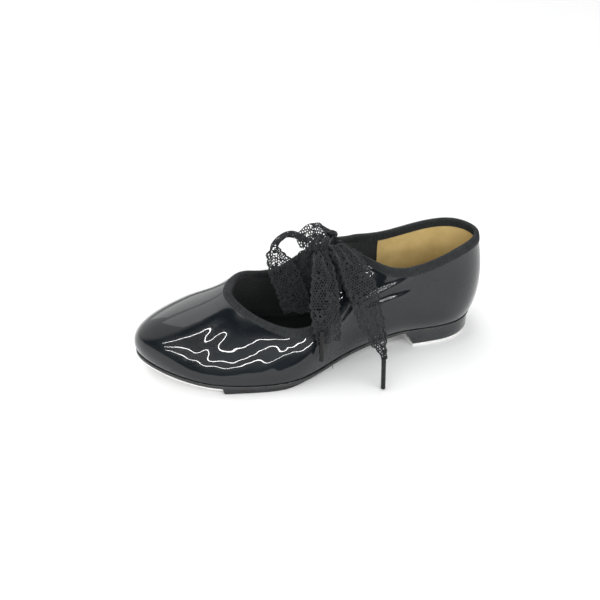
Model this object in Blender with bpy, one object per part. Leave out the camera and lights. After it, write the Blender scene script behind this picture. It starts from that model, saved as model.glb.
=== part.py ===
"""Ribbon-tie tap shoe for the left foot, as the separate pieces it is made of.

+X points to the toe, +Y to the wearer's left (the outer side of the foot), +Z up.
The shoe stands on z = 0, and the origin is under the ball of the foot, on the sole pad.
Sizes in this file are millimetres measured from the middle of the last's length.
The function to_world moves them to the origin and turns them into metres.
"""
import math

import bpy
import numpy as np

MM = 0.001
BALL_X = 50.0            # the origin's place along the last
GAP = 0.3                # room between pieces that touch

# ---- thicknesses -----------------------------------------------------------
PATENT = 1.1
STIFFENER = 0.8
LINING = 0.7
TAPE = 0.7
TAPE_ROOM = 0.7          # between the binding's legs and what they wrap
RIBBON = 0.8
OUTSOLE = 2.2
OUTSOLE_HEEL = 1.3
BOARD = 1.2
SOCK = 1.5
TAP = 2.0

# ---- heights and places ----------------------------------------------------
BALL_FEATHER = 5.5       # upper's bottom edge over the sole pad
HEEL_RISE = 8.5          # how much higher that edge is at the heel
TOE_SPRING = 9.8         # how much higher it is at the toe
TOE_TAP_REAR = 73.0
HEEL_BREAST_TOP = -59.5
HEEL_BREAST_FOOT = -65.0
MARGIN = 9.0             # how far the upper turns in under the insole
HOLE_RADIUS = 3.6
LINING_SEAM = 3.15       # ribs from the heel to the seam between the two linings
BINDING_LEG = 5.0        # how far the tape comes down from the topline
PAD_REAR = 11.0
FILLER_ENDS = (4.0, 104.0)
SHANK_ENDS = (-98.0, -4.0)
SHANK_HALF_WIDTH = 6.0

# Ribs of the upper, from the heel round to the toe: name, bottom edge on the outer
# side and on the inner side (x, y), topline on both sides (x, y, z), and the rib's
# bulge: flare and rise from the bottom edge, reach and drop from the topline.
RIBS = (
    ("heel_back", (-115.5, 0), (-115.5, 0), (-118, 0, 70.5), (-118, 0, 70.5), (9.5, 20, 4, 18)),
    ("heel_corner", (-105.5, 18.5), (-105.5, -18.5), (-108.5, 15.5, 70.3), (-107.5, -15.5, 71.8), (9, 14, 2.5, 20)),
    ("heel_side", (-86, 25.8), (-86, -25.3), (-87, 24, 67.2), (-85, -24, 68), (9, 12, 1, 22)),
    ("ankle", (-60, 25), (-60, -23.5), (-64, 27, 63.4), (-59.3, -26, 63.8), (9.5, 12, 1, 20)),
    ("tab_rear", (-36, 26), (-36, -22), (-39, 24.6, 67.6), (-37, -20.1, 67.9), (11, 13, 4, 18)),
    ("tab_end", (-12, 30.5), (-12, -22.5), (-19, 9, 76), (-21, -8, 74), (7, 18, 24, 4)),
    ("tab_front", (10, 39.5), (10, -26), (-7, 28, 59), (-4, -24, 60), (5, 18, 9, 12)),
    ("throat_side", (33, 45.5), (34, -35), (14, 36.5, 38), (18, -27, 48), (4, 12, 3, 8)),
    ("throat_corner", (61, 41), (62, -38.5), (41, 25, 41.5), (41, -15.5, 56), (5, 12, 12, 5)),
    ("toe_side", (92, 28.5), (93.5, -33), (54, 11, 49), (52, -7, 57), (6, 11.5, 17, 7.5)),
    ("toe_tip", (118.5, -6), (118.5, -6), (57, 2.5, 53.5), (57, 2.5, 53.5), (8.5, 22.5, 32, 8)),
)
TOE = len(RIBS) - 1
ROUND = 2 * TOE          # ribs in the whole loop
TAB = 5                  # the rib through the tab on the outer side
HOLE_AT = 0.83           # the lace hole's place s on that rib
COURSES = np.array([0.12, 0.3, 0.45, 0.6, 0.72, 0.82, 0.9, 0.95, 1.0])   # s, closer near the topline


# ---- scene helpers ---------------------------------------------------------
def clear_scene():
    for item in list(bpy.data.objects):
        bpy.data.objects.remove(item, do_unlink=True)


def material(name, colour, roughness, metallic=0.0):
    finish = bpy.data.materials.new(name)
    finish.use_nodes = True
    shader = finish.node_tree.nodes["Principled BSDF"]
    shader.inputs["Base Color"].default_value = (*colour, 1.0)
    shader.inputs["Roughness"].default_value = roughness
    shader.inputs["Metallic"].default_value = metallic
    return finish


def to_world(points):
    return (np.asarray(points, float) - (BALL_X, 0, 0)) * MM


def make_object(name, points, faces, finish, origin=(BALL_X, 0, 0)):
    """One closed mesh; origin is the object's own origin, in the last's millimetres."""
    place = to_world(origin)
    mesh = bpy.data.meshes.new(name)
    mesh.from_pydata([tuple(p) for p in to_world(points) - place], [], faces)
    mesh.materials.append(finish)
    mesh.update()
    item = bpy.data.objects.new(name, mesh)
    item.location = place
    bpy.context.scene.collection.objects.link(item)
    return item


def face_outward(item):
    """Flip the mesh if its signed volume is negative, so that every face points out."""
    mesh = item.data
    mesh.calc_loop_triangles()
    corner = np.array([v.co for v in mesh.vertices])
    triangles = np.array([t.vertices for t in mesh.loop_triangles])
    a, b, c = (corner[triangles[:, k]] for k in range(3))
    if np.einsum("ij,ij->i", a, np.cross(b, c)).sum() < 0:
        mesh.flip_normals()
    return item


def shade_smooth(item, degrees=35):
    item.data.shade_smooth()
    item.data.set_sharp_from_angle(angle=math.radians(degrees))
    return item


# ---- the last's surface ----------------------------------------------------
def smooth(t):
    t = np.clip(t, 0.0, 1.0)
    return t * t * (3 - 2 * t)


def feather(x):
    """Height of the upper's bottom edge above the floor."""
    x = np.asarray(x, float)
    heel = HEEL_RISE * smooth((15 - x) / 75)
    toe = TOE_SPRING * (np.clip(x - 45, 0, None) / 74) ** 2
    return BALL_FEATHER + heel + toe


def rib_table():
    """All ribs round the loop: bottom x, y, topline x, y, z, flare, rise, reach, drop."""
    outer = [(*rib[1], *rib[3], *rib[5]) for rib in RIBS]
    inner = [(*rib[2], *rib[4], *rib[5]) for rib in RIBS[-2:0:-1]]
    return np.array(outer + inner, float)


def spline_control(knots):
    """Control values of the closed cubic B-spline that passes through the knots."""
    unit = np.eye(len(knots))
    matrix = (4 * unit + np.roll(unit, 1, 0) + np.roll(unit, -1, 0)) / 6
    return np.linalg.solve(matrix, knots)


RIB_CONTROL = spline_control(rib_table())


def rib_values(t):
    t = np.asarray(t, float)
    first = np.floor(t).astype(int)
    f = (t - first)[..., None]
    weights = ((1 - f) ** 3, 3 * f**3 - 6 * f**2 + 4, -3 * f**3 + 3 * f**2 + 3 * f + 1, f**3)
    return sum(w * RIB_CONTROL[(first - 1 + k) % ROUND] for k, w in enumerate(weights)) / 6


def ribs_at(t):
    """Rib values and the level outward direction at each place t round the loop."""
    t = np.asarray(t, float)
    values = rib_values(t)
    along = (rib_values(t + 0.001) - rib_values(t - 0.001))[:, :2]
    along /= np.linalg.norm(along, axis=1, keepdims=True)
    outward = np.stack([-along[:, 1], along[:, 0], np.zeros(len(t))], 1)
    return values, outward


def upper_surface(t, s):
    """Outer face of the upper: t runs round the shoe, s from the bottom edge to the topline."""
    values, outward = ribs_at(t)
    up = np.array([0.0, 0.0, 1.0])
    bottom = np.column_stack([values[:, :2], feather(values[:, 0])])
    top = values[:, 2:5]
    flare, rise, reach, drop = (values[:, k : k + 1] for k in range(5, 9))
    low = bottom + outward * flare + up * rise
    high = top + outward * reach - up * drop
    s = np.asarray(s, float)[None, :, None]
    corners = (bottom, low, high, top)
    weights = ((1 - s) ** 3, 3 * s * (1 - s) ** 2, 3 * s**2 * (1 - s), s**3)
    return sum(w * p[:, None] for w, p in zip(weights, corners))


def layer(t, s, depth):
    """The upper's surface moved inward by depth, which may change with s."""
    t, s = np.asarray(t, float), np.asarray(s, float)
    step = 0.002
    s_low, s_high = np.clip(s - step, 0, 1), np.clip(s + step, 0, 1)
    along = upper_surface(t + step, s) - upper_surface(t - step, s)
    rising = upper_surface(t, s_high) - upper_surface(t, s_low)
    normal = np.cross(rising, along)
    normal /= np.linalg.norm(normal, axis=2, keepdims=True)
    return upper_surface(t, s) - normal * np.broadcast_to(depth, (len(t), len(s)))[..., None]


def hole_place(t):
    """Centre of the lace hole on rib t, and the outward normal there."""
    outer, inner = (layer([t], [HOLE_AT], depth)[0, 0] for depth in (0.0, 1.0))
    return outer, outer - inner


def lining_depth(s):
    """Linings lie on the patent near the topline and behind the stiffeners lower down."""
    return PATENT + GAP + (STIFFENER + GAP) * smooth((0.85 - np.asarray(s)) / 0.25)


def places(start, end):
    """Places round the shoe from start to end: three to a rib, six near the tabs' ends."""
    grid = np.arange(-6 * TAB, 6 * ROUND) / 6
    near_tab = np.minimum(abs(grid - TAB), abs(grid - ROUND + TAB)) < 1
    every_other = np.arange(len(grid)) % 2 == 0
    chosen = grid[(near_tab | every_other) & (grid > start + 0.05) & (grid < end - 0.05)]
    return np.concatenate([[start], chosen, [end]])


# ---- sheets ----------------------------------------------------------------
def sheet(name, front, back, finish, closed=False, origin=(BALL_X, 0, 0)):
    """Solid between two grids of points with the same rows and columns."""
    rows, columns = front.shape[:2]
    points = np.concatenate([front.reshape(-1, 3), back.reshape(-1, 3)])
    last = rows if closed else rows - 1

    def at(i, j, side):
        return side * rows * columns + (i % rows) * columns + j

    faces = []
    for i in range(last):
        for j in range(columns - 1):
            faces.append((at(i, j, 0), at(i, j + 1, 0), at(i + 1, j + 1, 0), at(i + 1, j, 0)))
            faces.append((at(i, j, 1), at(i + 1, j, 1), at(i + 1, j + 1, 1), at(i, j + 1, 1)))
        for j, flip in ((0, 1), (columns - 1, -1)):
            edge = (at(i, j, 0), at(i + 1, j, 0), at(i + 1, j, 1), at(i, j, 1))
            faces.append(edge[::flip])
    if not closed:
        for j in range(columns - 1):
            for i, flip in ((0, -1), (rows - 1, 1)):
                edge = (at(i, j, 0), at(i, j + 1, 0), at(i, j + 1, 1), at(i, j, 1))
                faces.append(edge[::flip])
    return shade_smooth(face_outward(make_object(name, points, faces, finish, origin)))


def turned_in(t, inset, height):
    """Points under the insole, inset from the bottom edge and above it by height."""
    values, outward = ribs_at(t)
    flat = values[:, :2] - outward[:, :2] * inset
    return np.column_stack([flat, feather(flat[:, 0]) + height])[:, None]


def lasted_layer(name, t, s, depths, rests_at, thickness, finish):
    """A layer of the upper whose bottom edge is turned in under the insole."""
    front_depth, back_depth = depths
    front = [
        turned_in(t, MARGIN, rests_at),
        turned_in(t, np.max(front_depth), rests_at),
        layer(t, s, front_depth),
    ]
    back = [
        turned_in(t, MARGIN, rests_at + thickness),
        turned_in(t, np.max(back_depth), rests_at + thickness),
        layer(t, s, back_depth),
    ]
    return sheet(name, np.concatenate(front, 1), np.concatenate(back, 1), finish)


def make_binding(finish):
    """Folded tape round the whole topline, over the raw edges of patent and lining."""
    t = places(0, ROUND)[:-1]
    outside, inside = -TAPE_ROOM, PATENT + GAP + LINING + TAPE_ROOM
    height = np.linalg.norm(upper_surface(t, [1.0]) - upper_surface(t, [0.95]), axis=2)
    low = 1 - 0.05 * BINDING_LEG / height

    def ring(s, depth, lift):
        rows = [layer(t[i : i + 1], [s[i]], depth)[0] for i in range(len(t))]
        edge = upper_surface(t, [1.0]) - upper_surface(t, [0.97])
        edge /= np.linalg.norm(edge, axis=2, keepdims=True)
        return np.array(rows) + edge * lift

    low, high = low[:, 0], np.ones(len(t))
    roof = 2 * GAP
    corners = (
        (low, outside, 0.0, -TAPE, 0.0),
        (high, outside, 0.0, -TAPE, 0.0),
        (high, outside, roof, -TAPE, TAPE),
        (high, inside, roof, TAPE, TAPE),
        (high, inside, 0.0, TAPE, 0.0),
        (low, inside, 0.0, TAPE, 0.0),
    )
    front = [ring(s, depth + out, lift + up) for s, depth, lift, out, up in corners]
    back = [ring(s, depth, lift) for s, depth, lift, _, _ in corners]
    front, back = np.concatenate(front, 1), np.concatenate(back, 1)
    return sheet("topline_binding", front, back, finish, closed=True)


# ---- flat pieces of the bottom --------------------------------------------
def bottom_outline(side, x, inset):
    """Half width of the bottom at x, on the outer (+1) or inner (-1) side."""
    t = np.linspace(0, TOE, 400) if side > 0 else np.linspace(ROUND, TOE, 400)
    values, outward = ribs_at(t)
    edge = values[:, :2] - outward[:, :2] * inset
    return np.interp(x, edge[:, 0], edge[:, 1])


def bottom_ends(inset):
    values, _ = ribs_at(np.array([0.0, TOE]))
    return values[0, 0] + inset, values[1, 0] - inset


def rungs(start, end, count, round_start, round_end):
    """Places along the shoe, closer together towards an end that is round."""
    a = 0.06 if round_start else math.pi / 2
    b = math.pi - 0.06 if round_end else math.pi / 2
    if not round_start and not round_end:
        return np.linspace(start, end, count)
    turn = -np.cos(np.linspace(a, b, count))
    return start + (end - start) * (turn - turn[0]) / (turn[-1] - turn[0])


def slab(name, x, left, right, bottom, top, finish, lean=0.0):
    """Solid between two heights, with one straight rung across at each place x.

    lean moves the rungs of the bottom face backward at the front end.
    """
    foot = x - lean * smooth((x - x[0]) / (x[-1] - x[0]) * 3 - 2)
    front = [np.column_stack([foot, side[0], bottom]) for side in (left, right)]
    back = [np.column_stack([x, side[1], top]) for side in (left, right)]
    return sheet(name, np.stack(front, 1), np.stack(back, 1), finish)


def board(name, start, end, inset, low, high, finish, count=30, inset_foot=None, lean=0.0):
    """A slab that follows the bottom's outline; low and high are heights at each x.

    start or end is None where the piece runs to the round end of the bottom.
    """
    heel_end, toe_end = bottom_ends(inset)
    first = heel_end if start is None else start
    last = toe_end if end is None else end
    x = rungs(first, last, count, start is None, end is None)
    insets = (inset if inset_foot is None else inset_foot, inset)
    left = [bottom_outline(1, x, value) for value in insets]
    right = [bottom_outline(-1, x, value) for value in insets]
    return slab(name, x, left, right, low(x), high(x), finish, lean)


# ---- turned pieces ---------------------------------------------------------
def turned(name, profile, finish, place, axis=(0, 0, 1), sides=16):
    """Solid of revolution about an axis through place, from (radius, height) points."""
    axis = np.asarray(axis, float) / np.linalg.norm(axis)
    side = np.cross((0, 1, 0), axis)
    side /= np.linalg.norm(side)
    other = np.cross(axis, side)
    angle = np.linspace(0, 2 * math.pi, sides, endpoint=False)[:, None]
    circle = side * np.cos(angle) + other * np.sin(angle)
    points = np.concatenate([circle * radius + axis * height for radius, height in profile]) + place
    faces = [tuple(reversed(range(sides)))]
    for k in range(len(profile) - 1):
        for i in range(sides):
            j = (i + 1) % sides
            faces.append((k * sides + i, k * sides + j, (k + 1) * sides + j, (k + 1) * sides + i))
    top = (len(profile) - 1) * sides
    faces.append(tuple(top + i for i in range(sides)))
    return shade_smooth(face_outward(make_object(name, points, faces, finish, place)))


def cut(target, cutter):
    """Take the cutter, which is not part of the shoe, out of the target."""
    cutter.hide_render = True
    cutter.display_type = "WIRE"
    hollow = target.modifiers.new(cutter.name, "BOOLEAN")
    hollow.operation = "DIFFERENCE"
    hollow.object = cutter


# ---- ribbon ----------------------------------------------------------------
def open_spline(knots, per_span):
    """Smooth curve through the knots, per_span points to a span."""
    knots = np.asarray(knots, float)
    padded = np.concatenate([[2 * knots[0] - knots[1]], knots, [2 * knots[-1] - knots[-2]]])
    out = []
    for k in range(len(knots) - 1):
        p0, p1, p2, p3 = padded[k : k + 4]
        for f in np.linspace(0, 1, per_span, endpoint=False):
            tangent = (p2 - p0) * f * (1 - f) ** 2 / 2 - (p3 - p1) * f**2 * (1 - f) / 2
            out.append(p1 + (p2 - p1) * smooth(f) + tangent)
    return np.array(out + [knots[-1]])


def strip(name, knots, finish, across=(1, 0, 0), per_span=3, origin=(BALL_X, 0, 0), columns=3):
    """Flat ribbon through knots of x, y, z and width, lying along the direction across."""
    path = open_spline(knots, per_span)
    centre, width = path[:, :3], path[:, 3]
    along = np.gradient(centre, axis=0)
    along /= np.linalg.norm(along, axis=1, keepdims=True)
    side = np.broadcast_to(np.asarray(across, float), centre.shape)
    side = side - along * np.sum(side * along, axis=1, keepdims=True)
    side /= np.linalg.norm(side, axis=1, keepdims=True)
    face = np.cross(side, along)
    places = np.linspace(-0.5, 0.5, columns)
    spread = centre[:, None] + side[:, None] * width[:, None, None] * places[None, :, None]
    half = face[:, None] * RIBBON / 2
    return sheet(name, spread + half, spread - half, finish, origin=origin)


# ---- the upper -------------------------------------------------------------
def make_upper(patent):
    ends = 0.008
    t = places(ends, ROUND - ends)
    return lasted_layer("upper", t, COURSES, (0.0, PATENT), 0.0, PATENT, patent)


def make_stiffeners(puff_board, counter_board):
    s = np.array([0.12, 0.3, 0.45, 0.6])
    depth = PATENT + GAP
    toe = TOE + np.arange(-4, 5) / 3
    heel = np.arange(-8, 9) / 3
    sheet("toe_puff", layer(toe, s, depth), layer(toe, s, depth + STIFFENER), puff_board)
    sheet("heel_counter", layer(heel, s, depth), layer(heel, s, depth + STIFFENER), counter_board)


def make_linings(mesh_cloth, tan_leather):
    depths = (lining_depth(COURSES), lining_depth(COURSES) + LINING)
    ends = 0.012
    front = places(LINING_SEAM + ends, ROUND - LINING_SEAM - ends)
    rear = places(ends - LINING_SEAM, LINING_SEAM - ends)
    rest = PATENT + GAP
    lasted_layer("heel_lining", rear, COURSES, depths, rest, LINING, tan_leather)
    return lasted_layer("forepart_lining", front, COURSES, depths, rest, LINING, mesh_cloth)


def punch_lace_holes(upper, lining, finish):
    """One round hole in each tab, through patent and lining."""
    for name, t in (("outer_hole", TAB), ("inner_hole", ROUND - TAB)):
        centre, normal = hole_place(t)
        cutter = turned(name, ((HOLE_RADIUS, -6), (HOLE_RADIUS, 3)), finish, centre, normal, sides=20)
        cut(upper, cutter)
        cut(lining, cutter)


# ---- the bottom ------------------------------------------------------------
def stack(height):
    """A height above the upper's bottom edge, as a function of x."""
    return lambda x: feather(x) + height


def outsole_foot(x):
    """Height of the outsole's lower face: thinner under the heel seat."""
    thickness = OUTSOLE_HEEL + (OUTSOLE - OUTSOLE_HEEL) * smooth((x + 62) / 20)
    return feather(x) - GAP - thickness


def level(height):
    return lambda x: np.full_like(x, height)


def pad_foot(x):
    """The pad is flat on the floor under the ball and thins out towards the waist."""
    return (outsole_foot(x) - 0.9) * smooth((38 - x) / 26)


def sole_face(x):
    """Where the pad, the tap and the heel block meet the outsole."""
    return outsole_foot(x) - GAP


def make_bottom(leather, rubber, fibre, foam, steel, cloth):
    inside = PATENT + STIFFENER + LINING + 3 * GAP + 1.0
    lift = PATENT + LINING + 3 * GAP
    board_at = lift + GAP
    sock_at = board_at + BOARD + GAP
    board("insole_board", None, None, inside, stack(board_at), stack(board_at + BOARD), fibre)
    board("sock_liner", None, None, inside + GAP, stack(sock_at), stack(sock_at + SOCK), cloth)
    board("bottom_filler", *FILLER_ENDS, MARGIN + 1.5, stack(0.0), stack(lift), foam, count=14)
    x = np.linspace(*SHANK_ENDS, 14)
    left, right = np.full(14, SHANK_HALF_WIDTH), np.full(14, -SHANK_HALF_WIDTH)
    slab("shank", x, [left] * 2, [right] * 2, feather(x) + 0.8, feather(x) + 0.8 + BOARD, steel)
    board("sole_pad", PAD_REAR, TOE_TAP_REAR - 1.0, 0.2, pad_foot, sole_face, rubber, count=16)
    return board("outsole", None, None, -0.6, outsole_foot, stack(-GAP), leather, count=40)


def make_heel(plastic, metal):
    heel = board(
        "heel_block", None, HEEL_BREAST_TOP, 0.4, level(TAP + GAP), sole_face, plastic,
        count=22, inset_foot=1.0, lean=HEEL_BREAST_TOP - HEEL_BREAST_FOOT,
    )
    tap = board("heel_tap", None, HEEL_BREAST_FOOT, 1.0, level(0.0), level(TAP), metal, count=18)
    return heel, tap


def tap_foot(x):
    return sole_face(x) - TAP


def make_toe_tap(metal):
    return board("toe_tap", TOE_TAP_REAR, None, 0.9, tap_foot, sole_face, metal, count=18)


TOE_SCREWS = ((80, 22), (80, -24), (107, -3))
HEEL_SCREWS = ((-76, 18.5), (-76, -18.5), (-108, 0))
HEEL_NAILS = ((-74, 11.5), (-74, -11.5), (-94, 10.5), (-94, -10.5))
HEAD_RADIUS = 2.3
HEAD_HEIGHT = 1.1
HEAD_RECESS = 0.2        # how far the head lies inside the tap's face
SHANK_RADIUS = 1.2


def fasten(names, places, foot, length, metal, tap, base):
    """Countersunk screws through a tap into the piece above it."""
    head = HEAD_RADIUS + GAP
    hole = SHANK_RADIUS + GAP
    neck = HEAD_RECESS + HEAD_HEIGHT
    hollow = ((head, -1), (head, neck + GAP), (hole, neck + GAP), (hole, length + GAP))
    screw = (
        (HEAD_RADIUS, HEAD_RECESS),
        (HEAD_RADIUS, neck - 0.4),
        (SHANK_RADIUS, neck),
        (SHANK_RADIUS, length - 1),
        (0.3, length),
    )
    for k, (x, y) in enumerate(places):
        before, here, after = foot(np.array([x - 1.0, x, x + 1.0]))
        place, axis = (x, y, here), (before - after, 0, 2)
        cutter = turned(f"{names}_hole_{k + 1}", hollow, metal, place, axis)
        cut(tap, cutter)
        cut(base, cutter)
        turned(f"{names}_{k + 1}", screw, metal, place, axis)


def nail_heel(metal, outsole, heel):
    for k, (x, y) in enumerate(HEEL_NAILS):
        place = (x, y, float(feather(x)))
        cutter = turned(f"heel_nail_hole_{k + 1}", ((1.3, -10.5), (1.3, 3)), metal, place)
        cut(outsole, cutter)
        cut(heel, cutter)
        profile = ((0.2, -10), (1.0, -9), (1.0, 0.4), (2.2, 0.4), (2.2, 1.2))
        turned(f"heel_nail_{k + 1}", profile, metal, place, sides=12)


# ---- the lace --------------------------------------------------------------
KNOT = (-4, 5, 80)
FRONT_HINGE = (2, 14, 80)
REAR_HINGE = (-7, 13.6, 82.4)


def crossing_knots():
    """From the knot over the outer tab, down its hole, under both tabs and up to the knot."""
    knots = [(-17.5, 11, 78.2, 6)]
    for t, side in ((TAB, 1), (ROUND - TAB, -1)):
        centre, normal = hole_place(t)
        outside = [*(centre + normal * 2.5), 5.0]
        middle = [*(centre - normal * 1.2), 5.0]
        inside = [*(centre - normal * 5.0), 6.0]
        knots += [outside, middle, inside][::side]
        if side > 0:
            knots += [(-21, 10, 66, 12), (-21, 0, 65.5, 14), (-21, -8, 64.5, 12)]
    return knots + [(-16.5, -8, 78, 6)]


def make_lace(lace, tip):
    """One ribbon through both tab holes, tied in a bow, and split where it meets the knot."""
    strip("ribbon_crossing", crossing_knots(), lace)
    profile = ((3, -5.5), (7.5, -3), (8.5, 0.5), (6, 4.5), (2, 6))
    turned("ribbon_knot", profile, lace, KNOT)
    forward_loop = (
        (6.5, 0, 80.5, 8), (14, -4, 82.5, 15), (22, -6, 80, 19), (27, -7, 72, 20),
        (23, -6, 63.5, 19), (14, -4, 62, 16), (6, -1, 67, 11), (2, 2, 73, 7),
    )
    strip("ribbon_loop_inner", forward_loop, lace, across=(0.28, 0.81, 0.52))
    folded_loop = (
        (-7, 14.6, 79.2, 7), (-11, 20, 78.6, 10), (-15, 26, 74.4, 14), (-17.5, 31, 68, 17),
        (-19, 35, 61, 18), (-19.5, 35.9, 57.5, 18), (-18.8, 33.4, 59, 18), (-16.5, 28.8, 67, 16),
        (-14, 23.4, 72.6, 12), (-11, 18.6, 76.4, 9), (-7, 14.4, 77, 7),
    )
    strip("ribbon_loop_outer", folded_loop, lace, across=(1, 0.1, 0))
    rear_tail = (
        (*REAR_HINGE, 7), (-11, 20, 83, 13), (-15, 28, 78.5, 18), (-18, 34.5, 69, 21), (-21, 39.5, 58, 21),
        (-23, 44, 46, 20), (-25, 50, 36, 17), (-26.5, 56.5, 28.5, 11), (-27, 61, 25.5, 4),
    )
    strip("ribbon_tail_rear", rear_tail, lace, origin=REAR_HINGE)
    front_tail = (
        (*FRONT_HINGE, 7), (2, 21, 78, 12), (3, 29, 70, 17), (4.5, 36, 60, 20),
        (6, 41, 51, 21), (5.5, 44.5, 42, 19), (5, 46, 31, 15),
    )
    strip("ribbon_tail_front", front_tail, lace, origin=FRONT_HINGE)
    aglet = ((1.2, 0), (1.5, 0.6), (1.5, 22))
    turned("aglet_rear", aglet, tip, (-26.4, 64.6, 1.0), (-0.5, -2.6, 22), sides=12)
    turned("aglet_front", aglet, tip, (10.5, 49.3, 20.5), (0.2, -1.0, 22), sides=12)


def build():
    clear_scene()
    patent = material("patent", (0.01, 0.011, 0.013), 0.12)
    tape = material("binding_tape", (0.03, 0.031, 0.036), 0.7)
    mesh_cloth = material("mesh_lining", (0.03, 0.032, 0.035), 0.9)
    tan = material("tan_lining", (0.62, 0.47, 0.27), 0.7)
    puff = material("puff_board", (0.5, 0.45, 0.38), 0.9)
    fibre = material("fibre_board", (0.45, 0.36, 0.25), 0.9)
    foam = material("filler", (0.3, 0.28, 0.25), 0.95)
    sole = material("sole_leather", (0.02, 0.02, 0.02), 0.5)
    rubber = material("pad_rubber", (0.02, 0.02, 0.02), 0.7)
    plastic = material("heel_plastic", (0.03, 0.03, 0.032), 0.35)
    steel = material("shank_steel", (0.5, 0.5, 0.5), 0.4, 1.0)
    metal = material("tap_metal", (0.8, 0.8, 0.8), 0.3, 1.0)
    lace = material("lace_ribbon", (0.02, 0.02, 0.022), 0.85)
    tip = material("aglet", (0.02, 0.02, 0.02), 0.3)
    upper = make_upper(patent)
    make_binding(tape)
    make_stiffeners(puff, fibre)
    lining = make_linings(mesh_cloth, tan)
    punch_lace_holes(upper, lining, patent)
    outsole = make_bottom(sole, rubber, fibre, foam, steel, mesh_cloth)
    heel, heel_tap = make_heel(plastic, metal)
    toe_tap = make_toe_tap(metal)
    fasten("toe_tap_screw", TOE_SCREWS, tap_foot, 4.2, metal, toe_tap, outsole)
    fasten("heel_tap_screw", HEEL_SCREWS, level(0.0), 9.0, metal, heel_tap, heel)
    nail_heel(metal, outsole, heel)
    make_lace(lace, tip)


build()
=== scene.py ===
"""Looks of the ribbon-tie tap shoe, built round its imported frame.

Sizes are millimetres measured from the middle of the last's length, as in the part's
own source. The function to_world moves them to the frame's origin and turns them into
metres. +X points to the toe, +Y to the wearer's left, +Z up.
"""
import math

import bpy
import numpy as np
from mathutils import Matrix, Vector


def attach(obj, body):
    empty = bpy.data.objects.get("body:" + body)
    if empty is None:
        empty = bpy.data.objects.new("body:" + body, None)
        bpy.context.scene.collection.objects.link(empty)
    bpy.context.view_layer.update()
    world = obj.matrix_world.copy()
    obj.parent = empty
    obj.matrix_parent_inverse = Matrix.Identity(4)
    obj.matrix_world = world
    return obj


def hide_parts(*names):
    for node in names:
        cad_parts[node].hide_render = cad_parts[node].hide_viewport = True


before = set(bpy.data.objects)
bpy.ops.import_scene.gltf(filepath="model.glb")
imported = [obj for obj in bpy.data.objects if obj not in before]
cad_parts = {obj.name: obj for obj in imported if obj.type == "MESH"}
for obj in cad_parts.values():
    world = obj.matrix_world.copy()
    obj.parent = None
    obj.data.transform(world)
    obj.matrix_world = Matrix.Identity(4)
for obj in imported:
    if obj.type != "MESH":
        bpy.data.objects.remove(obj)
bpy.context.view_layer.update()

MM = 0.001
BALL_X = 50.0
GAP = 0.3

PATENT = 1.1
STIFFENER = 0.8
LINING = 0.7
OUTSOLE = 2.2
OUTSOLE_HEEL = 1.3
TAP = 2.0
BOARD = 1.2
SOCK = 1.5

BALL_FEATHER = 5.5
HEEL_RISE = 8.5
TOE_SPRING = 9.8
TOE_TAP_REAR = 73.0
HEEL_BREAST_TOP = -59.5
HEEL_BREAST_FOOT = -65.0
PAD_REAR = 11.0
MARGIN = 9.0
HOLE_RADIUS = 3.6
LINING_SEAM = 3.15
RIBBON_WIDTH = 21.0
LACE_THICK = 0.34
NET_PITCH = 1.65
MOTIF_REPEAT = 24.0      # from one pair of flowers to the next along the ribbon

BINDING_LEG = 5.0
RIB_PITCH = 1.15
RIB_DEPTH = 0.2
TAPE_SIDE = 0.55         # how far the tape's faces stand off the patent and the lining
TAPE_THICK = 0.45
STITCH_DROP = 3.7        # from the topline down to the stitches
STITCH_STEP = 11         # stations from one stitch to the next, with five to a rib

TOE_SCREWS = ((80, 22), (80, -24), (107, -3))
HEEL_SCREWS = ((-76, 18.5), (-76, -18.5), (-108, 0))
HEAD_RADIUS = 2.3
KNOT = np.array((-4.0, 5.0, 80.0))

CAMERA_ANGLES = (160.94, 31.5, 0.54)     # azimuth, elevation and roll in degrees
CAMERA_DISTANCE = 0.7212
CAMERA_LENS = 64.84
CAMERA_TARGET = (8.57, 0, 36.89)
FLOOR_HALF = 6.0
FLOOR_FRONT = 0.34       # the dark room in front of the table shows in the patent above this edge
TUBES = ((1.32, 0.52), (1.2, 0.75), (0.96, 1.02))     # y and z of the long lamps, in metres

# Ribs of the upper, from the heel round to the toe: bottom edge on the outer side and on
# the inner side (x, y), topline on both sides (x, y, z), and flare, rise, reach and drop.
RIBS = (
    ((-115.5, 0), (-115.5, 0), (-118, 0, 70.5), (-118, 0, 70.5), (9.5, 20, 4, 18)),
    ((-105.5, 18.5), (-105.5, -18.5), (-108.5, 15.5, 70.3), (-107.5, -15.5, 71.8), (9, 14, 2.5, 20)),
    ((-86, 25.8), (-86, -25.3), (-87, 24, 67.2), (-85, -24, 68), (9, 12, 1, 22)),
    ((-60, 25), (-60, -23.5), (-64, 27, 63.4), (-59.3, -26, 63.8), (9.5, 12, 1, 20)),
    ((-36, 26), (-36, -22), (-39, 24.6, 67.6), (-37, -20.1, 67.9), (11, 13, 4, 18)),
    ((-12, 30.5), (-12, -22.5), (-19, 9, 76), (-21, -8, 74), (7, 18, 24, 4)),
    ((10, 39.5), (10, -26), (-7, 28, 59), (-4, -24, 60), (5, 18, 9, 12)),
    ((33, 45.5), (34, -35), (14, 36.5, 38), (18, -27, 48), (4, 12, 3, 8)),
    ((61, 41), (62, -38.5), (41, 25, 41.5), (41, -15.5, 56), (5, 12, 12, 5)),
    ((92, 28.5), (93.5, -33), (54, 11, 49), (52, -7, 57), (6, 11.5, 17, 7.5)),
    ((118.5, -6), (118.5, -6), (57, 2.5, 53.5), (57, 2.5, 53.5), (8.5, 22.5, 32, 8)),
)
TOE = len(RIBS) - 1
ROUND = 2 * TOE
TAB = 5
HOLE_AT = 0.83


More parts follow.
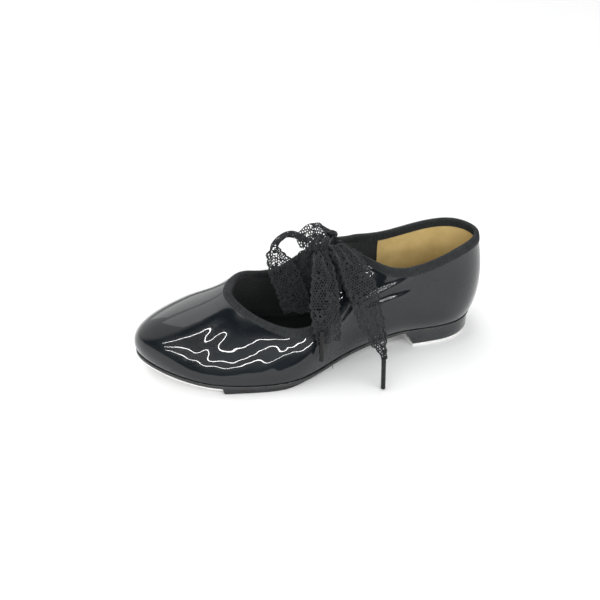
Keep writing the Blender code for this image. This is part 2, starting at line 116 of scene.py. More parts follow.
# ---- camera and studio ----
def make_camera():
    azimuth, elevation, roll = np.radians(CAMERA_ANGLES)
    back = Vector((
        math.sin(azimuth) * math.cos(elevation),
        -math.cos(azimuth) * math.cos(elevation),
        math.sin(elevation),
    ))
    right = Vector((0, 0, 1)).cross(back).normalized()
    up = back.cross(right)
    rolled_right = right * math.cos(roll) + up * math.sin(roll)
    rolled_up = up * math.cos(roll) - right * math.sin(roll)
    turn = Matrix((rolled_right, rolled_up, back)).transposed().to_4x4()
    place = Vector(to_world(CAMERA_TARGET)) + back * CAMERA_DISTANCE
    lens = bpy.data.cameras.new("camera")
    lens.lens = CAMERA_LENS
    lens.clip_start = 0.01
    camera = bpy.data.objects.new("camera", lens)
    camera.matrix_world = Matrix.Translation(place) @ turn
    bpy.context.scene.collection.objects.link(camera)
    bpy.context.scene.camera = camera


def area_lamp(name, place, aims_at, size, power):
    lamp = bpy.data.lights.new(name, "AREA")
    lamp.shape = "RECTANGLE"
    lamp.size, lamp.size_y = size
    lamp.energy = power
    item = bpy.data.objects.new(name, lamp)
    item.location = place
    item.rotation_euler = (Vector(aims_at) - Vector(place)).to_track_quat("-Z", "Y").to_euler()
    bpy.context.scene.collection.objects.link(item)


def make_room():
    """Surroundings that are white overhead and on the far side, and dark in front."""
    scene = bpy.context.scene
    scene.view_settings.view_transform = "Standard"
    world = bpy.data.worlds.new("studio")
    scene.world = world
    world.use_nodes = True
    tree = world.node_tree
    background = tree.nodes["Background"]
    direction = tree.nodes.new("ShaderNodeTexCoord")
    tilted = tree.nodes.new("ShaderNodeVectorMath")
    tilted.operation = "DOT_PRODUCT"
    tree.links.new(direction.outputs["Generated"], tilted.inputs[0])
    tilted.inputs[1].default_value = (0.5, -0.72, 1.0)
    ramp = tree.nodes.new("ShaderNodeValToRGB")
    ramp.color_ramp.interpolation = "EASE"
    ramp.color_ramp.elements[0].position = 0.68
    ramp.color_ramp.elements[0].color = (0.02, 0.026, 0.032, 1)
    ramp.color_ramp.elements[1].position = 0.99
    ramp.color_ramp.elements[1].color = (1.0, 1.0, 0.99, 1)
    tree.links.new(tilted.outputs["Value"], ramp.inputs[0])
    tree.links.new(ramp.outputs[0], background.inputs["Color"])
    background.inputs["Strength"].default_value = 1.0


def make_floor():
    floor_finish = bpy.data.materials.new("floor")
    floor_finish.use_nodes = True
    shader = floor_finish.node_tree.nodes["Principled BSDF"]
    shader.inputs["Base Color"].default_value = (0.9, 0.9, 0.9, 1)
    shader.inputs["Roughness"].default_value = 0.9
    shader.inputs["Specular IOR Level"].default_value = 0.1
    mesh = bpy.data.meshes.new("floor")
    half, front = FLOOR_HALF, FLOOR_FRONT
    corners = ((-half, -half, 0), (half, -half, 0), (half, front, 0), (-half, front, 0))
    mesh.from_pydata(corners, [], [(0, 1, 2, 3)])
    mesh.materials.append(floor_finish)
    floor = bpy.data.objects.new("floor", mesh)
    bpy.context.scene.collection.objects.link(floor)


def make_lamps():
    """Two softboxes, and three long tubes that draw the bright lines on the vamp."""
    area_lamp("overhead", (0.0, -0.4, 1.5), (0, 0, 0), (1.8, 1.6), 11)
    area_lamp("far_fill", (-0.2, -1.6, 0.9), (0, 0, 0.05), (1.8, 1.0), 6)
    for k, (y, z) in enumerate(TUBES):
        area_lamp(f"tube_{k + 1}", (0.5, y, z), (0.5, 0, 0.03), (3.4, 0.022), 12)


# ---- the last's surface ----
def to_world(points):
    return (np.asarray(points, float) - (BALL_X, 0, 0)) * MM


def smooth(t):
    t = np.clip(t, 0.0, 1.0)
    return t * t * (3 - 2 * t)


def feather(x):
    x = np.asarray(x, float)
    heel = HEEL_RISE * smooth((15 - x) / 75)
    toe = TOE_SPRING * (np.clip(x - 45, 0, None) / 74) ** 2
    return BALL_FEATHER + heel + toe


def rib_table():
    outer = [(*rib[0], *rib[2], *rib[4]) for rib in RIBS]
    inner = [(*rib[1], *rib[3], *rib[4]) for rib in RIBS[-2:0:-1]]
    return np.array(outer + inner, float)


def spline_control(knots):
    unit = np.eye(len(knots))
    matrix = (4 * unit + np.roll(unit, 1, 0) + np.roll(unit, -1, 0)) / 6
    return np.linalg.solve(matrix, knots)


RIB_CONTROL = spline_control(rib_table())


def rib_values(t):
    t = np.asarray(t, float)
    first = np.floor(t).astype(int)
    f = (t - first)[..., None]
    weights = ((1 - f) ** 3, 3 * f**3 - 6 * f**2 + 4, -3 * f**3 + 3 * f**2 + 3 * f + 1, f**3)
    return sum(w * RIB_CONTROL[(first - 1 + k) % ROUND] for k, w in enumerate(weights)) / 6


def ribs_at(t):
    t = np.asarray(t, float)
    values = rib_values(t)
    along = (rib_values(t + 0.001) - rib_values(t - 0.001))[:, :2]
    along /= np.linalg.norm(along, axis=1, keepdims=True)
    outward = np.stack([-along[:, 1], along[:, 0], np.zeros(len(t))], 1)
    return values, outward


def upper_surface(t, s):
    """Outer face of the upper: t runs round the shoe, s from the bottom edge to the topline."""
    values, outward = ribs_at(t)
    up = np.array([0.0, 0.0, 1.0])
    bottom = np.column_stack([values[:, :2], feather(values[:, 0])])
    top = values[:, 2:5]
    flare, rise, reach, drop = (values[:, k : k + 1] for k in range(5, 9))
    low = bottom + outward * flare + up * rise
    high = top + outward * reach - up * drop
    s = np.asarray(s, float)[None, :, None]
    corners = (bottom, low, high, top)
    weights = ((1 - s) ** 3, 3 * s * (1 - s) ** 2, 3 * s**2 * (1 - s), s**3)
    return sum(w * p[:, None] for w, p in zip(weights, corners))


def unit_rows(vectors):
    return vectors / np.linalg.norm(vectors, axis=-1, keepdims=True)


def surface_normal(t, s):
    t, s = np.asarray(t, float), np.asarray(s, float)
    step = 0.002
    along = upper_surface(t + step, s) - upper_surface(t - step, s)
    rising = upper_surface(t, np.clip(s + step, 0, 1)) - upper_surface(t, np.clip(s - step, 0, 1))
    return unit_rows(np.cross(rising, along))


def layer(t, s, depth):
    """The upper's surface moved inward by depth, which may change over the grid."""
    shape = (len(t), len(s))
    return upper_surface(t, s) - surface_normal(t, s) * np.broadcast_to(depth, shape)[..., None]


def lining_depth(s):
    return PATENT + GAP + (STIFFENER + GAP) * smooth((0.85 - np.asarray(s)) / 0.25)


def turned_in(t, inset, height):
    values, outward = ribs_at(t)
    flat = values[:, :2] - outward[:, :2] * inset
    return np.column_stack([flat, feather(flat[:, 0]) + height])[:, None]


def hole_place(t):
    outer, inner = (layer([t], [HOLE_AT], depth)[0, 0] for depth in (0.0, 1.0))
    return outer, outer - inner


# ---- mesh helpers ----
def add_mesh(name, points, faces, finish, body="shoe", slot=None, replaces=(), sharp=40):
    mesh = bpy.data.meshes.new(name)
    mesh.from_pydata(to_world(points).tolist(), [], [tuple(f) for f in faces])
    mesh.materials.append(finish)
    mesh.validate()
    mesh.calc_loop_triangles()
    corner = np.array([v.co for v in mesh.vertices])
    triangles = np.array([t.vertices for t in mesh.loop_triangles])
    a, b, c = (corner[triangles[:, k]] for k in range(3))
    if np.einsum("ij,ij->i", a, np.cross(b, c)).sum() < 0:
        mesh.flip_normals()
    mesh.shade_smooth()
    mesh.set_sharp_from_angle(angle=math.radians(sharp))
    item = bpy.data.objects.new(name, mesh)
    bpy.context.scene.collection.objects.link(item)
    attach(item, body)
    if replaces:
        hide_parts(*replaces)
    return item


def grid_faces(rows, columns, closed):
    last = rows if closed else rows - 1
    i, j = np.meshgrid(np.arange(last), np.arange(columns - 1), indexing="ij")
    near, far = i * columns, ((i + 1) % rows) * columns
    return np.stack([near + j, near + j + 1, far + j + 1, far + j], -1).reshape(-1, 4)


def shell(front, back, closed=False, hole=None):
    """Points and faces of the solid between two grids; hole marks the cells left out."""
    rows, columns = front.shape[:2]
    size = rows * columns
    points = np.concatenate([front.reshape(-1, 3), back.reshape(-1, 3)])
    cells = grid_faces(rows, columns, closed)
    kept = cells if hole is None else cells[~hole]
    edges = np.concatenate([kept[:, [k, (k + 1) % 4]] for k in range(4)])
    ordered = np.sort(edges, 1)
    keys = ordered[:, 0] * size + ordered[:, 1]
    _, where, uses = np.unique(keys, return_index=True, return_counts=True)
    rim = edges[where[uses == 1]]
    walls = np.stack([rim[:, 1], rim[:, 0], rim[:, 0] + size, rim[:, 1] + size], 1)
    return points, np.concatenate([kept, kept[:, ::-1] + size, walls])


def waves(points, length, seed):
    """Smooth noise from about -1 to 1 with about this wavelength, in millimetres."""
    count = 7
    rng = np.random.default_rng(seed)
    total = 0.0
    for _ in range(count):
        direction = rng.normal(size=3)
        direction *= rng.uniform(0.7, 1.4) * 2 * math.pi / length / np.linalg.norm(direction)
        total = total + np.sin(points @ direction + rng.uniform(0, 2 * math.pi))
    return total / math.sqrt(count * 2)


def ring_bands(rings, sides):
    """Faces of the bands between rings of points that follow one another."""
    return [
        (k * sides + i, k * sides + (i + 1) % sides, (k + 1) * sides + (i + 1) % sides, (k + 1) * sides + i)
        for k in range(rings - 1) for i in range(sides)
    ]


def capped_bands(rings, sides):
    """The bands, with a cap on the first ring and on the last."""
    first = tuple(reversed(range(sides)))
    last = tuple((rings - 1) * sides + i for i in range(sides))
    return [*ring_bands(rings, sides), first, last]


def turned_points(profile, place, axis, sides=48):
    """Points and faces of (radius, height) steps turned about an axis through place."""
    axis = np.asarray(axis, float) / np.linalg.norm(axis)
    side = unit_rows(np.cross((0.0, 1.0, 0.0), axis))
    other = np.cross(axis, side)
    angle = np.linspace(0, 2 * math.pi, sides, endpoint=False)[:, None]
    circle = side * np.cos(angle) + other * np.sin(angle)
    points = np.concatenate([circle * radius + axis * height for radius, height in profile]) + place
    return points, capped_bands(len(profile), sides)


def tube_points(path, radius, sides=6):
    """Round thread along a path of points."""
    path = np.asarray(path, float)
    along = unit_rows(np.gradient(path, axis=0))
    side = unit_rows(np.cross(along, (0.31, 0.92, 0.23)))
    other = np.cross(along, side)
    angle = np.linspace(0, 2 * math.pi, sides, endpoint=False)[None, :, None]
    rings = path[:, None] + (side[:, None] * np.cos(angle) + other[:, None] * np.sin(angle)) * radius
    return rings.reshape(-1, 3), capped_bands(len(path), sides)


def joined(parts):
    """Several (points, faces) pairs as one."""
    points, faces, start = [], [], 0
    for part_points, part_faces in parts:
        points.append(part_points)
        faces += [tuple(i + start for i in face) for face in part_faces]
        start += len(part_points)
    return np.concatenate(points), faces


def open_spline(knots, per_span):
    knots = np.asarray(knots, float)
    padded = np.concatenate([[2 * knots[0] - knots[1]], knots, [2 * knots[-1] - knots[-2]]])
    out = []
    for k in range(len(knots) - 1):
        p0, p1, p2, p3 = padded[k : k + 4]
        for f in np.linspace(0, 1, per_span, endpoint=False):
            tangent = (p2 - p0) * f * (1 - f) ** 2 / 2 - (p3 - p1) * f**2 * (1 - f) / 2
            out.append(p1 + (p2 - p1) * smooth(f) + tangent)
    return np.array(out + [knots[-1]])


# ---- finishes ----
class Finish:
    """A Principled material with small helpers for its noise, colour and bump."""

    def __init__(self, name, colour, roughness, metallic=0.0, **sockets):
        self.material = bpy.data.materials.new(name)
        self.material.use_nodes = True
        self.tree = self.material.node_tree
        self.shader = self.tree.nodes["Principled BSDF"]
        self.colour = colour
        self.set("Base Color", (*colour, 1.0))
        self.set("Roughness", roughness)
        self.set("Metallic", metallic)
        for socket, value in sockets.items():
            self.set(socket.replace("_", " "), value)
        self.place = self.node("ShaderNodeTexCoord").outputs["Object"]

    def set(self, socket, value):
        self.shader.inputs[socket].default_value = value

    def node(self, kind):
        return self.tree.nodes.new(kind)

    def link(self, source, target):
        self.tree.links.new(source, target)

    def noise(self, size_mm, detail=3.0, distortion=0.0):
        made = self.node("ShaderNodeTexNoise")
        made.inputs["Scale"].default_value = 1000.0 / size_mm
        made.inputs["Detail"].default_value = detail
        made.inputs["Distortion"].default_value = distortion
        self.link(self.place, made.inputs["Vector"])
        return made.outputs["Fac"]

    def cells(self, size_mm):
        made = self.node("ShaderNodeTexVoronoi")
        made.inputs["Scale"].default_value = 1000.0 / size_mm
        self.link(self.place, made.inputs["Vector"])
        return made.outputs["Distance"]

    def ranged(self, source, low, high):
        made = self.node("ShaderNodeMapRange")
        made.inputs["From Min"].default_value = 0.3
        made.inputs["From Max"].default_value = 0.7
        made.inputs["To Min"].default_value = low
        made.inputs["To Max"].default_value = high
        self.link(source, made.inputs["Value"])
        return made.outputs["Result"]

    def colours(self, source, stops):
        made = self.node("ShaderNodeValToRGB")
        elements = made.color_ramp.elements
        while len(elements) < len(stops):
            elements.new(0.5)
        for element, (position, colour) in zip(elements, stops):
            element.position = position
            element.color = (*colour, 1.0)
        self.link(source, made.inputs["Fac"])
        self.link(made.outputs["Color"], self.shader.inputs["Base Color"])

    def mottled(self, size_mm, share):
        """Colour that varies by this share either way."""
        dark = tuple(c * (1 - share) for c in self.colour)
        light = tuple(min(c * (1 + share), 1.0) for c in self.colour)
        self.colours(self.noise(size_mm, 4.0), ((0.3, dark), (0.7, light)))

    def rough(self, size_mm, low, high):
        self.link(self.ranged(self.noise(size_mm), low, high), self.shader.inputs["Roughness"])

    def bump(self, source, depth_mm, after=None):
        made = self.node("ShaderNodeBump")
        made.inputs["Strength"].default_value = 1.0
        made.inputs["Distance"].default_value = depth_mm * MM
        self.link(source, made.inputs["Height"])
        if after is not None:
            self.link(after, made.inputs["Normal"])
        self.link(made.outputs["Normal"], self.shader.inputs["Normal"])
        return made.outputs["Normal"]


def patent_finish():
    """Black patent: a hazy dark base under a hard clear coat with a fine orange peel."""
    black = (0.004, 0.0062, 0.0082)
    made = Finish("patent", black, 0.3, Specular_IOR_Level=0.16, Coat_Weight=0.8, Coat_Roughness=0.025)
    made.rough(30, 0.22, 0.36)
    made.mottled(25, 0.25)
    ripple = made.bump(made.noise(9.0, 2.0, 0.4), 0.06)
    made.bump(made.noise(2.2, 2.0, 0.6), 0.03, after=ripple)
    return made.material


def tape_finish():
    made = Finish("grosgrain", (0.017, 0.0195, 0.0205), 0.8, Specular_IOR_Level=0.25, Sheen_Weight=0.08)
    made.mottled(3.0, 0.3)
    made.bump(made.noise(0.35, 4.0), 0.05)
    return made.material


def mesh_finish():
    """Black sandwich mesh: small round cells."""
    made = Finish("mesh_lining", (0.010, 0.012, 0.014), 0.9, Sheen_Weight=0.15)
    made.colours(made.cells(1.5), ((0.0, (0.002, 0.003, 0.003)), (0.35, (0.006, 0.008, 0.0085))))
    made.bump(made.cells(1.5), 0.25)
    return made.material


def tan_finish():
    """Tan lining leather with pores and faint clouding."""
    made = Finish("tan_leather", (0.6, 0.44, 0.18), 0.62, Specular_IOR_Level=0.3)
    cloud = made.noise(11.0, 5.0)
    made.colours(cloud, ((0.28, (0.53, 0.385, 0.15)), (0.5, (0.6, 0.44, 0.18)), (0.75, (0.66, 0.49, 0.21))))
    grain = made.bump(made.cells(1.1), 0.05)
    made.bump(made.noise(0.5, 4.0), 0.04, after=grain)
    return made.material


def sole_finish():
    made = Finish("sole_edge", (0.012, 0.0125, 0.013), 0.35, Coat_Weight=0.3, Coat_Roughness=0.2)
    made.rough(4.0, 0.28, 0.5)
    made.mottled(2.0, 0.35)
    made.bump(made.noise(0.8, 4.0), 0.03)
    return made.material


def rubber_finish():
    made = Finish("pad_rubber", (0.013, 0.013, 0.014), 0.65)
    made.rough(6.0, 0.5, 0.8)
    made.mottled(5.0, 0.3)
    made.bump(made.cells(0.9), 0.05)
    return made.material


def heel_finish():
    made = Finish("heel_block", (0.011, 0.0135, 0.0145), 0.24, Coat_Weight=0.35, Coat_Roughness=0.12)
    made.rough(14.0, 0.18, 0.34)
    made.mottled(10.0, 0.25)
    made.bump(made.noise(3.0, 2.0), 0.02)
    return made.material


def metal_finish(name, colour, low, high, brushed_mm=0.5):
    """Satin metal: fine lines along the shoe and slightly worn patches."""
    made = Finish(name, colour, (low + high) / 2, 0.4)
    stretch = made.node("ShaderNodeMapping")
    stretch.inputs["Scale"].default_value = (0.06, 1.0, 1.0)
    made.link(made.place, stretch.inputs["Vector"])
    brushed = made.node("ShaderNodeTexNoise")
    brushed.inputs["Scale"].default_value = 1000.0 / brushed_mm
    made.link(stretch.outputs["Vector"], brushed.inputs["Vector"])
    made.mottled(8.0, 0.06)
    made.link(made.ranged(brushed.outputs["Fac"], low, high), made.shader.inputs["Roughness"])
    made.bump(brushed.outputs["Fac"], 0.012)
    return made.material


def lace_finish():
    """Matt black thread, a little lighter where it catches the light."""
    made = Finish("lace_thread", (0.0165, 0.0185, 0.0205), 0.9, Specular_IOR_Level=0.3, Sheen_Weight=0.12)
    made.mottled(1.2, 0.45)
    made.bump(made.noise(0.45, 4.0), 0.12)
    return made.material


def thread_finish(name, colour):
    made = Finish(name, colour, 0.7, Sheen_Weight=0.2)
    made.mottled(0.8, 0.3)
    made.bump(made.noise(0.3, 3.0), 0.04)
    return made.material


def tip_finish():
    made = Finish("lace_tip", (0.006, 0.006, 0.0065), 0.3, Specular_IOR_Level=0.3)
    made.rough(3.0, 0.15, 0.35)
    made.mottled(2.0, 0.3)
    made.bump(made.noise(1.5, 3.0), 0.02)
    return made.material


def board_finish(name, colour, grain_mm):
    made = Finish(name, colour, 0.85)
    made.mottled(grain_mm * 3, 0.2)
    made.bump(made.noise(grain_mm, 5.0), 0.1)
    return made.material


def sock_finish():
    made = Finish("sock_cloth", (0.004, 0.005, 0.0055), 0.95, Specular_IOR_Level=0.2)
    made.mottled(2.0, 0.35)
    made.bump(made.cells(0.8), 0.12)
    return made.material


# ---- the upper ----
def ridge(points, start, end, width, height):
    """A raised fold between two points, with a shallow valley on each side of it."""
    start, end = np.asarray(start, float), np.asarray(end, float)
    span = end - start
    share = np.clip((points - start) @ span / (span @ span), 0, 1)
    distance = np.linalg.norm(points - start - share[..., None] * span, axis=-1) / width
    reach = np.exp(-distance**2) * (1 - 0.9 * distance**2)
    return height * reach * np.sin(np.pi * np.clip(share, 0.04, 0.96)) ** 0.5


# Folds of the upper: where each starts and ends as (t, s), its half width and its height.
CREASES = (
    ((4.75, 0.50), (3.30, 0.90), 2.6, 1.05),
    ((4.45, 0.48), (3.20, 0.72), 2.4, 0.8),
    ((4.85, 0.84), (4.10, 0.93), 1.7, 0.5),
    ((4.60, 0.93), (4.20, 0.96), 1.2, 0.3),
    ((5.60, 0.42), (4.90, 0.50), 2.2, 0.4),
    ((15.2, 0.50), (16.6, 0.88), 3.0, 0.7),
    ((15.6, 0.45), (16.8, 0.70), 2.8, 0.5),
    ((7.70, 0.30), (7.30, 0.62), 4.5, 0.3),
    ((9.10, 0.35), (8.95, 0.75), 4.5, 0.3),
    ((11.6, 0.40), (11.2, 0.80), 5.0, 0.3),
)


def relief(points, s):
    """How far the patent stands out from the smooth last: slow waves, folds and puckers."""
    s = np.asarray(s)[None, :]
    fade = smooth(s / 0.15) * smooth((1 - s) / 0.1)
    x = points[..., 0]
    soft = 0.5 + 0.5 * smooth((x + 70) / 40) * smooth((108 - x) / 30)
    rise = (0.2 * waves(points, 42, 3) + 0.035 * waves(points, 17, 5) + 0.02 * waves(points, 6.5, 8)) * soft
    for start, finish, width, height in CREASES:
        ends = (upper_surface([place[0]], [place[1]])[0, 0] for place in (start, finish))
        rise = rise + ridge(points, *ends, width, height)
    rise = rise * fade
    for place in (TAB, ROUND - TAB):
        centre, normal = hole_place(place)
        away = points - centre
        above = away @ normal
        radius = np.linalg.norm(away - above[..., None] * normal, axis=-1)
        rise = rise - 0.5 * np.exp(-(((radius - HOLE_RADIUS) / 1.3) ** 2) - (above / 6) ** 2)
    return rise - vamp_hollow(points, s)


def vamp_hollow(points, s):
    """The soft vamp sinks a little behind the edge of the stiff toe box."""
    deepest = 1.2
    x = points[..., 0] + 0.8 * np.sin(points[..., 2] * 0.3)
    behind = smooth((80 - x) / 15) * smooth((x - 22) / 30)
    return deepest * behind * smooth(s / 0.5) * smooth((0.97 - s) / 0.45)


def make_upper(finish):
    rows, columns = 640, 68
    t = np.linspace(0, ROUND, rows, endpoint=False)
    above_edge = 0.02        # the rounded bottom edge takes up what lies below this
    s = np.linspace(above_edge, 1.0, columns)
    skin = upper_surface(t, s)
    outer = skin + surface_normal(t, s) * relief(skin, s)[..., None]
    inner = layer(t, s, PATENT + vamp_hollow(skin, s[None, :]))
    edge, outward = ribs_at(t)
    edge = np.column_stack([edge[:, :2], feather(edge[:, 0])])
    lift = outer[:, 0] - edge
    rounding, radius = [], 1.1
    for angle in np.radians((0, 22, 45, 68)):
        inset = outward * -(1 - math.sin(angle)) * radius
        rounding.append((edge + inset + lift * (1 - math.cos(angle)))[:, None])
    front = np.concatenate([turned_in(t, MARGIN, 0.0), turned_in(t, 4.0, 0.0), *rounding, outer], 1)
    # As many rows below the wall as the front has.
    low = [turned_in(t, inset, PATENT) for inset in (MARGIN, 4.0, 2.2, 2.0, 1.8, 1.5)]
    back = np.concatenate([*low, inner], 1)

    cells = grid_faces(rows, front.shape[1], True)
    flat_front, flat_back = front.reshape(-1, 3), back.reshape(-1, 3)
    hole = np.zeros(len(cells), bool)
    for place in (TAB, ROUND - TAB):
        centre, normal = hole_place(place)
        middle = flat_front[cells].mean(1) - centre
        across = middle - (middle @ normal)[:, None] * normal
        here = (np.linalg.norm(across, axis=1) < HOLE_RADIUS) & (abs(middle @ normal) < 6)
        rim = np.intersect1d(cells[here], cells[~here])
        for points in (flat_front, flat_back):
            away = points[rim] - centre
            above = (away @ normal)[:, None] * normal
            points[rim] = centre + above + unit_rows(away - above) * HOLE_RADIUS
        hole |= here
    front, back = flat_front.reshape(front.shape), flat_back.reshape(back.shape)
    points, faces = shell(front, back, True, hole)
    add_mesh("patent_upper", points, faces, finish, slot="patent", replaces=["upper"], sharp=60)


def topline_stations(per_rib):
    """Places round the topline at equal lengths, with this many to each rib of the tape."""
    t = np.linspace(0, ROUND, 2401)
    line = upper_surface(t, [1.0])[:, 0]
    run = np.concatenate([[0], np.cumsum(np.linalg.norm(np.diff(line, axis=0), axis=1))])
    count = int(round(run[-1] / RIB_PITCH)) * per_rib
    return np.interp(np.linspace(0, run[-1], count, endpoint=False), run, t)


def share_of_mm(t):
    """How much of s one millimetre below the topline takes up."""
    step = 0.05
    height = np.linalg.norm(upper_surface(t, [1.0]) - upper_surface(t, [1 - step]), axis=2)[:, 0]
    return step / height


def tape_sections(t):
    """The tape's cross-sections, from its outer edge over the topline to its inner edge.

    Gives the points, the outward direction at each, and how strongly the ribs show there.
    """
    share = share_of_mm(t)
    top = upper_surface(t, [1.0])[:, 0]
    rise = unit_rows(top - upper_surface(t, [0.97])[:, 0])
    normal = surface_normal(t, [0.999])[:, 0]
    outside, inside = -TAPE_SIDE, PATENT + GAP + LINING + TAPE_SIDE
    middle, half = (outside + inside) / 2, (inside - outside) / 2
    rows, ways, strength = [], [], []

    def leg(depth, drop, facing, tucked):
        s = 1 - share * drop
        skin = np.stack([upper_surface(t[i : i + 1], [s[i]])[0, 0] for i in range(len(t))])
        rows.append(skin - normal * depth)
        ways.append(facing * normal)
        strength.append(tucked)

    # The groove under the stitches is the pair at 3.9 and 3.5.
    outer_leg = (
        (BINDING_LEG, 0.0, 0.0), (BINDING_LEG - 0.15, 0.75, 0.4), (BINDING_LEG - 0.6, 1.0, 1.0),
        (3.9, 0.62, 0.3), (3.5, 0.62, 0.3), (3.1, 1.0, 1.0), (2.0, 1.0, 1.0), (0.9, 1.0, 1.0),
    )
    for drop, proud, tucked in outer_leg:
        leg(outside * proud, drop, 1, tucked)
    for angle in np.radians(np.linspace(0, 180, 11)):
        depth = middle - half * math.cos(angle)
        lift = half * 0.8 * math.sin(angle)
        rows.append(top - normal * depth + rise * lift)
        ways.append(normal * math.cos(angle) + rise * math.sin(angle))
        strength.append(1.0)
    for drop in (1.0, 2.2, 3.6, BINDING_LEG - 0.5):
        leg(inside, drop, -1, 1.0)
    leg(inside - TAPE_SIDE * 0.8, BINDING_LEG, -1, 0.2)
    return np.stack(rows, 1), np.stack(ways, 1), np.array(strength)


def make_binding(finish, thread):
    """Grosgrain tape folded over the whole topline, with its line of stitches."""
    per_rib = 5
    t = topline_stations(per_rib)
    points, ways, strength = tape_sections(t)
    phase = np.arange(len(t)) * 2 * math.pi / per_rib
    ribs = np.cos(phase)[:, None] * RIB_DEPTH * strength
    slow = 0.1 * waves(points, 19, 21)
    outer = points + ways * (ribs + slow)[..., None]
    inner = points - ways * TAPE_THICK
    made, faces = shell(outer, inner, True)
    add_mesh("topline_tape", made, faces, finish, slot="binding", replaces=["topline_binding"], sharp=75)

    rows, share = [], share_of_mm(t)
    for i in range(0, len(t) - STITCH_STEP, STITCH_STEP):
        near = t[i : i + STITCH_STEP - 3 : 3]
        skin = [upper_surface([a], [1 - share[i] * STITCH_DROP])[0, 0] for a in near]
        normal = surface_normal(near, [0.999])[:, 0]
        arch = TAPE_SIDE * 0.62 + 0.12 * np.sin(np.linspace(0, math.pi, len(near)))
        rows.append(tube_points(np.array(skin) + normal * arch[:, None], 0.17))
    add_mesh("tape_stitching", *joined(rows), thread, slot="binding", sharp=60)


def lining_sheet(name, t, finish, slot, node, proud=0.0):
    """A lining from the bottom margin up to the topline; proud makes it thicker inward."""
    s = np.concatenate([np.linspace(0.04, 0.9, 60), np.linspace(0.91, 1.0, 10)])
    depth = lining_depth(s) + LINING - 0.1 + proud
    skin = upper_surface(t, s)
    wave = 0.12 * waves(skin, 28, 31) * smooth((1 - s) / 0.1)
    inner = layer(t, s, depth + wave)
    outer = layer(t, s, lining_depth(s))
    front = np.concatenate([turned_in(t, MARGIN, PATENT + GAP), turned_in(t, 3.6, PATENT + GAP), outer], 1)
    rest = PATENT + GAP + LINING
    back = np.concatenate([turned_in(t, MARGIN, rest), turned_in(t, 3.9, rest), inner], 1)
    points, faces = shell(front, back)
    add_mesh(name, points, faces, finish, slot=slot, replaces=[node], sharp=60)


def make_linings(mesh_cloth, tan, thread, edge_finish):
    ends = 0.012
    front = np.linspace(LINING_SEAM + ends, ROUND - LINING_SEAM - ends, 420)
    rear = np.linspace(-LINING_SEAM + ends, LINING_SEAM - ends, 200)
    lining_sheet("mesh_lining_forepart", front, mesh_cloth, "mesh_lining", "forepart_lining")
    lining_sheet("tan_lining_heel", rear, tan, "tan_lining", "heel_lining", proud=0.12)
    strands, edges = [], []
    s = np.linspace(0.06, 0.985, 120)
    for side in (1, -1):
        seam = side * LINING_SEAM
        raw = layer([seam - side * 0.01], s, lining_depth(s) + LINING - 0.02)[0]
        edges.append(tube_points(raw, 0.28, sides=8))
        line = layer([seam - side * 0.13], s, lining_depth(s) + LINING + 0.06)[0]
        for k in range(0, len(line) - 4, 4):
            strands.append(tube_points(line[k : k + 4], 0.16))
    add_mesh("tan_lining_stitching", *joined(strands), thread, slot="tan_lining", sharp=60)
    add_mesh("tan_lining_raw_edge", *joined(edges), edge_finish, slot="tan_lining", sharp=60)


# ---- the bottom ----
def bottom_outline(side, x, inset):
    t = np.linspace(0, TOE, 1200) if side > 0 else np.linspace(ROUND, TOE, 1200)
    values, outward = ribs_at(t)
    edge = values[:, :2] - outward[:, :2] * inset
    return np.interp(x, edge[:, 0], edge[:, 1])


def bottom_ends(inset):
    values, _ = ribs_at(np.array([0.0, TOE]))
    return values[0, 0] + inset, values[1, 0] - inset


def rungs(start, end, count, round_start, round_end):
    a = 0.03 if round_start else math.pi / 2
    b = math.pi - 0.03 if round_end else math.pi / 2
    if not round_start and not round_end:
        return np.linspace(start, end, count)
    turn = -np.cos(np.linspace(a, b, count))
    return start + (end - start) * (turn - turn[0]) / (turn[-1] - turn[0])


def plate(start, end, base, profile, count=120):
    """Points and faces of a flat piece whose outline follows the bottom of the shoe.

    profile lists, from the lower face round the edge to the upper face, how far each loop
    lies inside the outline, its height as a function of x, and how far its front end moves.
    """
    loops = []
    for inset, height, shift in profile:
        heel_end, toe_end = bottom_ends(base + inset)
        first = heel_end if start is None else start + inset
        last = toe_end if end is None else end - inset + shift
        x = rungs(first, last, count, start is None, end is None)
        left = np.column_stack([x, bottom_outline(1, x, base + inset), height(x)])
        right = np.column_stack([x, bottom_outline(-1, x, base + inset), height(x)])
        loops.append(np.concatenate([left, right[::-1]]))
    size = 2 * count
    faces = ring_bands(len(loops), size)
    top = (len(loops) - 1) * size
    for i in range(count - 1):
        ring = (i, size - 1 - i, size - 2 - i, i + 1)
        faces.append(ring)
        faces.append(tuple(top + v for v in reversed(ring)))
    return np.concatenate(loops), faces


def edge_profile(low, high, bevel, shift=0.0):
    """Loops of a plate with rounded lower and upper edges; shift moves the lower front end."""
    rounds = ((1.0, 0.0), (0.3, 0.3), (0.0, 1.0))
    loops = [(bevel * a, lambda x, b=b: low(x) + bevel * b, shift) for a, b in rounds]
    loops += [(bevel * a, lambda x, b=b: high(x) - bevel * b, 0.0) for a, b in reversed(rounds)]
    return loops


def stack(height):
    """Height as a function of x: this far above the feather line."""
    return lambda x: feather(x) + height


def outsole_foot(x):
    thickness = OUTSOLE_HEEL + (OUTSOLE - OUTSOLE_HEEL) * smooth((x + 62) / 20)
    return feather(x) - GAP - thickness


def sole_face(x):
    return outsole_foot(x) - GAP / 3


def pad_foot(x):
    return (outsole_foot(x) - 0.9) * smooth((38 - x) / 26)


def toe_tap_foot(x):
    return sole_face(x) - TAP


def level(height):
    return lambda x: np.full_like(x, height)


